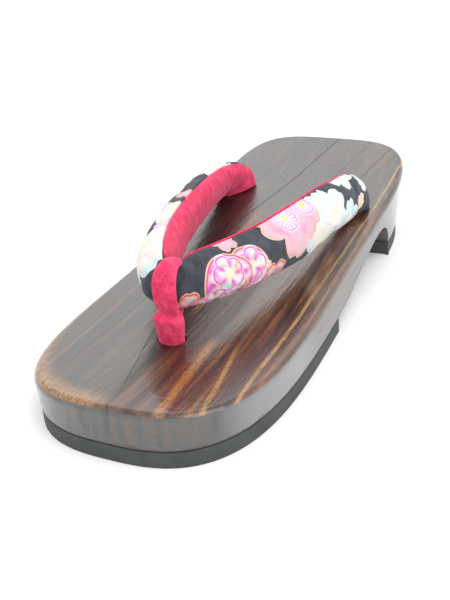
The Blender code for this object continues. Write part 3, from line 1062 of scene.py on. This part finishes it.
def flower_stamp():
    """Draws one flower: heart, blushing petals with a wash of colour, petal lines, rim and outer edge."""
    group = bpy.data.node_groups.new("flower_stamp", "ShaderNodeTree")
    for label in STAMP_NUMBERS:
        group.interface.new_socket(label, in_out="INPUT", socket_type="NodeSocketFloat")
    for label in STAMP_COLOURS:
        group.interface.new_socket(label, in_out="INPUT", socket_type="NodeSocketColor")
    group.interface.new_socket("Colour", in_out="OUTPUT", socket_type="NodeSocketColor")
    start, end = add(group, "NodeGroupInput"), add(group, "NodeGroupOutput")
    given = {label: Wire(start.outputs[label]) for label in STAMP_NUMBERS + STAMP_COLOURS}
    uv = wire(group, "UVMap", uv_map="UVMap")
    centre = wire(group, "CombineXYZ", {"X": given["U"], "Y": given["V"]})
    away = wire(group, "VectorMath", {0: uv, 1: centre}, operation="SUBTRACT")
    x, y, _ = parts_of(away)
    distance = wire(group, "VectorMath", {0: away}, "Value", operation="LENGTH")
    angle = y.calc("ARCTAN2", x) + given["Turn"]
    off_gap = (angle / (2 * math.pi) * given["Petals"]).calc("PINGPONG", 0.5)
    to_gap = 1.0 - off_gap * 2.0
    gap_dip = to_gap ** 2.6 * given["Waist"]
    tip_dip = between(to_gap, 0.22, 0, False) * given["Notch"]
    share = distance / given["Radius"] / (1.0 - gap_dip - tip_dip)
    colour = over(between(share, 0.15, 0.70), given["Blush"], given["Petal"])
    colour = over(between(share, 0.62, 1), colour, given["Tip"])
    colour = over(given["Blots"] * given["Wet"], colour, given["Wash"])
    ring = between(share, 0.22, 0.50) * between(share, 0.98, 0.66)
    colour = over(ring * (between(to_gap, 0.30, 1) * given["Glow"]), colour, given["Rim"])
    seam = between(to_gap - given["Line"], 0, 0.03)
    colour = over(seam * between(share, 0.16, 0.24), colour, given["Rim"])
    inwards = (1.0 - share) * given["Radius"]
    colour = over(between(inwards, 1.35, 1.05), colour, given["Rim"])
    colour = over(between(inwards, 0.65, 0.45), colour, given["Edge"])
    colour = over(between(given["Heart size"] - share, -0.08, 0.06), colour, given["Heart"])
    printed = over(between(inwards, 0, 0.15), given["Under"], colour)
    group.links.new(printed.socket, end.inputs["Colour"])
    return group


stamp = flower_stamp()
print("stamp nodes:", len(stamp.nodes))

# %% Where the flowers go
# Kinds: petals, waist, notch, where a petal line starts, heart size, and their shares of the wash and of the
# glow between petals
CHERRY = (5, 0.30, 0.10, 2, 0.12, 0.25, 0)
LINED_CHERRY = (5, 0.30, 0.06, 0.97, 0.14, 0.60, 0.3)
ROSETTE = (16, 0.08, 0, 0.80, 0.24, 0, 0.25)
PLUM = (5, 0.22, 0, 0.97, 0.20, 0.75, 0.95)
DISC = (1, 0, 0, 2, 0, 1, 0)
# Colours of petal, blush, tip, rim, edge and heart
RINGED = ("d8ccd0", "d8ccd0", "d69cba", "d0507c", "d6b894", "d8ccd0")
PLUM_WHITE = ("dcd4d6", "dcd0d0", "dcd2d4", "cc58b0", "dcc4d2", "dcd2a8")
LEAF = ("dcc4c8", "d66cb0", "d88c50", "cf3a64", "d4a880", "d66cb0")
PINK = ("d2a0b0", "d6acc0", "d4b0b4", "cc92a6", "d6c294", "dcd2d6")
VIOLET = ("d8c4dc", "dccfe0", "dcd4e0", "b884cc", "dccfdc", "dccb7c")
MAGENTA = ("dccbd8", "cf58b4", "dcc8d8", "c03ca0", "dcd0d8", "b02c94")
WHITE = ("d8d8d2", "d6d6c6", "b4ced4", "bccccc", "dcdcd6", "d6ceb0")
CREAM = ("dcd4bc", "d8bca0", "dcd4c0", "d0b48c", "dfdac8", "cc9468")
BLUE = ("c4d8dc", "dfe0dc", "b8d4dc", "bcd0d4", "dce0e0", "dfdcc8")
SCALLOP = ("dfdcda", "dfdcda", "dfd6d4", "d68c4c", "dcb48c", "dfdcda")
WEAVE_SCALE = 0.5 / 0.42
# Place in U and V, turn, radius, kind and colours
FLOWERS = (
    (8.5, -10.5, 20, 9, LINED_CHERRY, LEAF),
    (34, -0.6, 0, 9.9, DISC, RINGED),
    (35.5, 1, 30, 7.6, PLUM, PLUM_WHITE),
    (24.8, -2.2, 0, 10.9, DISC, RINGED),
    (24.5, 1.2, 0, 7.2, PLUM, PLUM_WHITE),
    (19.5, -8.5, 40, 5.6, PLUM, PLUM_WHITE),
    (30, 14.2, 10, 5.6, CHERRY, PINK),
    (47.6, -7.6, -16, 7.4, LINED_CHERRY, LEAF),
    (43.6, -0.4, 0, 1.5, CHERRY, CREAM),
    (86, -5, 21, 19, CHERRY, WHITE),
    (66, 12, 4, 18.6, CHERRY, PINK),
    (62.6, 11.4, 0, 6.6, ROSETTE, VIOLET),
    (77, 11.8, 0, 5.8, ROSETTE, VIOLET),
    (94, 1.5, 8, 11.5, CHERRY, WHITE),
    (116.5, 14, 60, 10.5, CHERRY, WHITE),
    (109, -9.5, 18, 11, CHERRY, BLUE),
    (123.5, -5.5, 50, 5.4, CHERRY, CREAM),
    (131.5, 4.5, 0, 6, CHERRY, WHITE),
    (-27, 7, 30, 20.5, CHERRY, WHITE),
    (-43.5, 12.5, 0, 5.5, ROSETTE, VIOLET),
    (-62, -3, 10, 15, CHERRY, SCALLOP),
    (-56.5, -3.5, 0, 7, ROSETTE, MAGENTA),
    (-69, -8, 9, 5.2, ROSETTE, MAGENTA),
    (-67.5, 3, 4, 5.4, ROSETTE, MAGENTA),
    (-57, 14, 50, 10.5, CHERRY, WHITE),
    (-75.5, 14, 0, 5, CHERRY, PINK),
    (-85, 3.5, 20, 5.5, CHERRY, CREAM),
    (-39, -10.5, 5, 5, CHERRY, CREAM),
    (-98, -6, 0, 9, DISC, RINGED),
    (-98.5, -4.5, 30, 6.6, PLUM, PLUM_WHITE),
    (-112, 12.5, 10, 13, CHERRY, WHITE),
    (-120, -5, 30, 6.5, CHERRY, PINK),
)


# %% Printed cotton
def printed_cotton(name, flowers):
    """Charcoal cotton with the flowers stamped on it, and a fine weave in its relief."""
    made, tree, shader = finish(name, Roughness=0.80, Specular_IOR_Level=0.25, Sheen_Weight=0.12)
    uv = wire(tree, "UVMap", uv_map="UVMap")
    colour = ramp(noise(uv, (5, 5, 5)), (0.35, "30323a"), (0.65, "41434d"))
    wash = ramp(noise(uv, (7.5, 7.5, 7.5), 0), (0.34, "c83ca8"), (0.45, "d878c0"), (0.50, "dcc890"),
                (0.57, "dc8434"), (0.66, "94ccc4"))
    blots = between(noise(uv, (5.5, 5, 5.5), 1), 0.44, 0.64)
    for u, v, turn, radius, kind, colours in flowers:
        values = (blots, u, v, math.radians(turn), radius, *kind, colour, wash, *map(linear, colours))
        inputs = dict(zip(STAMP_NUMBERS + STAMP_COLOURS, values))
        colour = wire(tree, "Group", inputs, node_tree=stamp)
    waves = {"Vector": uv, "Scale": WEAVE_SCALE}
    warp, weft = (wire(tree, "TexWave", waves, 1, bands_direction=axis) for axis in "XY")
    feed(shader, Base_Color=colour, Normal=relief(warp.calc("MAXIMUM", weft), 0.00005, 0.6))
    return made


for name, side in (("printed_cotton_left", 1), ("printed_cotton_right", -1)):
    flowers = [row for row in FLOWERS if row[0] * side > -row[3]]
    cover.data.materials.append(printed_cotton(name, flowers))
    print(name, len(flowers), "flowers")
for face in cover.data.polygons:
    face.material_index = 0 if face.center.x > 0 else 1
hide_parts("strap_cover")
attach(cover, "root")

# %% [markdown]
# ## The crimson lining
#
# The foot's side of each arm is lined with crimson velveteen. It is a second rolled grid, rounded towards
# the foot and flat against the cover. Its upper edge stands over the seam, so a thin crimson line shows from
# outside.

# %% Linings
LINING_START = 10
LINING_SIDE_STEPS = 22
LINING_BACK_STEPS = 8
LINING_TUCK = 0.0006
LINING_FULLNESS = 0.75
# How far each lining is rounded out to the foot, and how far its edge stands over the seam
LINING_SHAPE = {"lining_left": (0.0011, 0.0005), "lining_right": (0.0016, 0.0001)}


def lining_ring(frame, roundness, lip):
    """One ring of the lining: a full round side towards the foot and a flat back."""
    upper, lower, bulge, belly, outward = frame
    rise = (upper - lower).normalized()
    upper, lower = upper + rise * lip, lower + rise * LINING_TUCK
    ring = []
    for i in range(LINING_SIDE_STEPS + 1):
        turn = math.pi * i / LINING_SIDE_STEPS
        inwards = CLOTH_GAP + (belly + roundness) * math.sin(turn) ** LINING_FULLNESS
        ring.append(above_wood(lower.lerp(upper, (1 - math.cos(turn)) / 2) - outward * inwards))
    for i in range(1, LINING_BACK_STEPS):
        share = 1 - i / LINING_BACK_STEPS
        inwards = CLOTH_GAP + belly * INNER_FULLNESS * math.sin(math.pi * share)
        ring.append(above_wood(lower.lerp(upper, share) - outward * inwards))
    return ring


linings = []
for name, frames, node in (
    ("lining_left", right_arm[LINING_START:], "strap_lining_left"),
    ("lining_right", left_arm[LINING_START - 1:], "strap_lining_right"),
):
    rings = [lining_ring(frame, *LINING_SHAPE[name]) for frame in frames]
    rings[-1] = [on_wood(point) for point in rings[-1]]
    arm_run = ALONG[len(left_arm) + LINING_START:]
    last = len(rings) - 1
    lining = rolled_grid(name + "_cloth", rings, lambda i, j: (arm_run[i], j * 0.8),
                         held=lambda i, j: not 0 < j < LINING_SIDE_STEPS or not 1 < i < last - 1)
    swell(lining, 0.0005, slack=0.01)
    finish_modifier(lining, "SUBSURF", levels=1, render_levels=1)
    smooth_shading(lining)
    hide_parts(node)
    linings.append(lining)
    print(name, len(lining.data.polygons), "faces")

# %% [markdown]
# ## The toe loop
#
# A loop of the same crimson cloth goes round the strap's nose, is drawn together under it, and its stem dives
# into the front hole. The band is a closed rolled grid and the stem an open one. Remeshing makes one soft
# body of them, and listed creases draw it in at the pinch.

# %% Loop and stem
LOOP_FRONT_Y = -0.0714
LOOP_REAR_Y = -0.0612
LOOP_LOW_Z = 0.0284
LOOP_HIGH_Z = 0.0474
LOOP_WIDTH = 0.0092
LOOP_SHIFT = 0.0009
LOOP_TOP_WIDTH = 0.0068
LOOP_TOP_SHIFT = 0.0010
LOOP_REAR_WIDTH = 0.0036
LOOP_NECK_WIDTH = 0.0062
LOOP_THICKNESS = 0.0034
LOOP_SQUARENESS = 2.15
STEM_WIDTH = 0.0097
STEM_DEPTH = 0.0082
STEM_SUNK = 0.0058
STEM_LEAN = 0.0012
# Shares of the stem's height, and of its width there: it is full below the pinch and narrows into its hole
STEM_SWELLS = (
    (0, 0.92), (0.3, 0.96), (0.45, 1), (0.6, 1.06), (0.78, 1.12), (0.88, 1.12), (0.95, 1), (1, 0.72),
)
LOOP_STEPS = 64
LOOP_SIDES = 20
STEM_SIDES = 28


def loop_rings():
    """Rings of the band, going once round the nose."""
    middle = Vector((LOOP_SHIFT, (LOOP_FRONT_Y + LOOP_REAR_Y) / 2, (LOOP_LOW_Z + LOOP_HIGH_Z) / 2))
    deep, tall = (LOOP_REAR_Y - LOOP_FRONT_Y) / 2, (LOOP_HIGH_Z - LOOP_LOW_Z) / 2
    rings = []
    for i in range(LOOP_STEPS):
        angle = 2 * math.pi * i / LOOP_STEPS
        back, up = math.cos(angle), math.sin(angle)
        radius = (abs(back) ** LOOP_SQUARENESS + abs(up) ** LOOP_SQUARENESS) ** (-1 / LOOP_SQUARENESS)
        over_top = max(up, 0) ** 4
        centre = middle + Vector((LOOP_TOP_SHIFT * over_top, radius * back * deep, radius * up * tall))
        outwards = Vector((0, back / deep, up / tall)).normalized()
        width = mix(LOOP_WIDTH, LOOP_REAR_WIDTH, max(back, 0) ** 0.7)
        width = mix(mix(width, LOOP_TOP_WIDTH, over_top), LOOP_NECK_WIDTH, max(-up, 0) ** 3)
        ring = []
        for k in range(LOOP_SIDES):
            turn = 2 * math.pi * k / LOOP_SIDES
            flat = abs(math.sin(turn)) ** 0.7 * math.copysign(1, math.sin(turn))
            side = Vector((width / 2 * math.cos(turn), 0, 0))
            ring.append(centre + side + outwards * LOOP_THICKNESS / 2 * flat)
        rings.append(ring)
    return rings


def stem_rings():
    """Rings of the stem, from inside the front hole up to the pinch."""
    foot = wood_top(FRONT_HOLE_Y) - STEM_SUNK
    head = LOOP_LOW_Z + 0.0012
    rings = []
    for up, fullness in STEM_SWELLS:
        ring = []
        for k in range(STEM_SIDES):
            turn = 2 * math.pi * k / STEM_SIDES
            lobes = 1 + 0.05 * math.cos(2 * turn)
            x = STEM_WIDTH / 2 * fullness * lobes * math.cos(turn)
            y = FRONT_HOLE_Y - STEM_LEAN * up + STEM_DEPTH / 2 * fullness * math.sin(turn)
            ring.append(Vector((x, y, mix(foot, head, up))))
        rings.append(ring)
    return rings


loop = rolled_grid("toe_loop_cloth", loop_rings(), lambda i, j: (i, j), closed=True)
fuse([loop, rolled_grid("stem", stem_rings(), lambda i, j: (i, j))], 0.0004, 6)
print("toe loop:", len(loop.data.polygons), "faces")

# %% Creases of the loop
# Folds of the loop, alike in front and behind: z, x, turn, length, width and depth, in mm and degrees
LOOP_CREASES = (
    (29, 0, 90, 5.5, 0.6, 0.50),
    (31.5, -2.4, 12, 4, 0.6, 0.40),
    (32.5, 0.6, -4, 4.5, 0.6, 0.45),
    (31.8, 3, -16, 3.8, 0.6, 0.35),
    (22, 1, 4, 5.5, 0.6, 0.40),
    (25.6, 2.6, -18, 3, 0.6, 0.35),
    (25.8, -2.8, 14, 3, 0.6, 0.30),
    (39, -1.2, 8, 6, 1.2, 0.16),
    (42, 2, -6, 6, 1.2, 0.14),
)
for vertex in loop.data.vertices:
    vertex.co -= vertex.normal * fold_depth(LOOP_CREASES, 1000 * vertex.co.z, 1000 * vertex.co.x)
smooth_shading(loop)
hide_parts("toe_loop")

# %% [markdown]
# Velveteen has a short pile. It scatters light at grazing angles, which a sheen layer gives, and shows as a
# fine mottle in colour and relief.

# %% Crimson velveteen
velvet, tree, shader = finish("crimson_velveteen", Roughness=0.88, Specular_IOR_Level=0.15, Sheen_Weight=0.48,
                              Sheen_Roughness=0.45, Sheen_Tint=linear("ff9cb2"))
place = millimetres(tree)
pile = noise(place, (0.7, 0.7, 0.7), 2, 0.7)
rubbed = noise(place, (3.5, 3.5, 3.5))
colour = ramp(pile * 0.42 + rubbed * 0.58, (0.34, "bc2a4c"), (0.50, "d83c61"), (0.66, "ec5478"))
feed(shader, Base_Color=colour, Normal=relief(pile, 0.00014, 0.6))
for piece in (*linings, loop):
    piece.data.materials.append(velvet)
    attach(piece, "root")

# %% [markdown]
# ## Knots under the base
#
# The strap's cords come down through their holes and are tied underneath. A stopper knot reads as two turns
# of cord wound over each other with a cut end below. Each turn is a torus, tilted so that the two cross.

# %% Knots
KNOTS = (
    ("front_cord_knot", "front_knot", 0, FRONT_HOLE_Y, 0.0073, 0.0021, 0.0165),
    ("rear_cord_knot_right", "rear_knot_right", -REAR_HOLE_X, REAR_HOLE_Y, 0.0096, 0.0017, 0.0255),
    ("rear_cord_knot_left", "rear_knot_left", REAR_HOLE_X, REAR_HOLE_Y, 0.0096, 0.0017, 0.0255),
)


def tied_knot(name, x, y, z, cord, top):
    """Two crossed turns of cord, the cord that comes down into them, and a cut end."""
    deselect()
    parts = []
    for lift, tilt, spin in ((0.45, 14, 0), (-0.45, -16, 70)):
        turn = (math.radians(tilt), 0, math.radians(spin))
        bpy.ops.mesh.primitive_torus_add(
            location=(x, y, z + lift * cord), rotation=turn, major_radius=1.35 * cord,
            minor_radius=cord * 0.98, major_segments=40, minor_segments=16)
        parts.append(named(name))
    for low, high, radius, shift in ((z, top, 1.35 * cord, 0), (z - 1.9 * cord, z, 0.85 * cord, 0.4 * cord)):
        middle = (x + shift, y, (low + high) / 2)
        bpy.ops.mesh.primitive_cylinder_add(vertices=24, radius=radius, depth=high - low, location=middle)
        parts.append(named(name))
    knot = fuse(parts, 0.00035, 3)
    knot.name = name
    smooth_shading(knot)
    return knot


hemp, tree, shader = finish("hemp_cord", Roughness=0.9, Specular_IOR_Level=0.2)
place = millimetres(tree)
twist = {"Vector": place, "Scale": 0.28, "Distortion": 1.5, "Detail": 2.0}
strands = wire(tree, "TexWave", twist, 1, bands_direction="DIAGONAL")
tone = strands * 0.6 + noise(place, (0.3, 0.3, 0.3), 2) * 0.4
feed(shader, Base_Color=ramp(tone, (0.2, "8a7448"), (0.8, "c8b488")), Normal=relief(tone, 0.0003))
for name, node, *sizes in KNOTS:
    knot = tied_knot(name, *sizes)
    knot.data.materials.append(hemp)
    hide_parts(node)
    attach(knot, "root")
    print(name, len(knot.data.polygons), "faces")

# %% [markdown]
# ## Finish
#
# The dressed model stays in the plain solids' box, give or take the cloth's fullness.

# %% Finish
deselect()
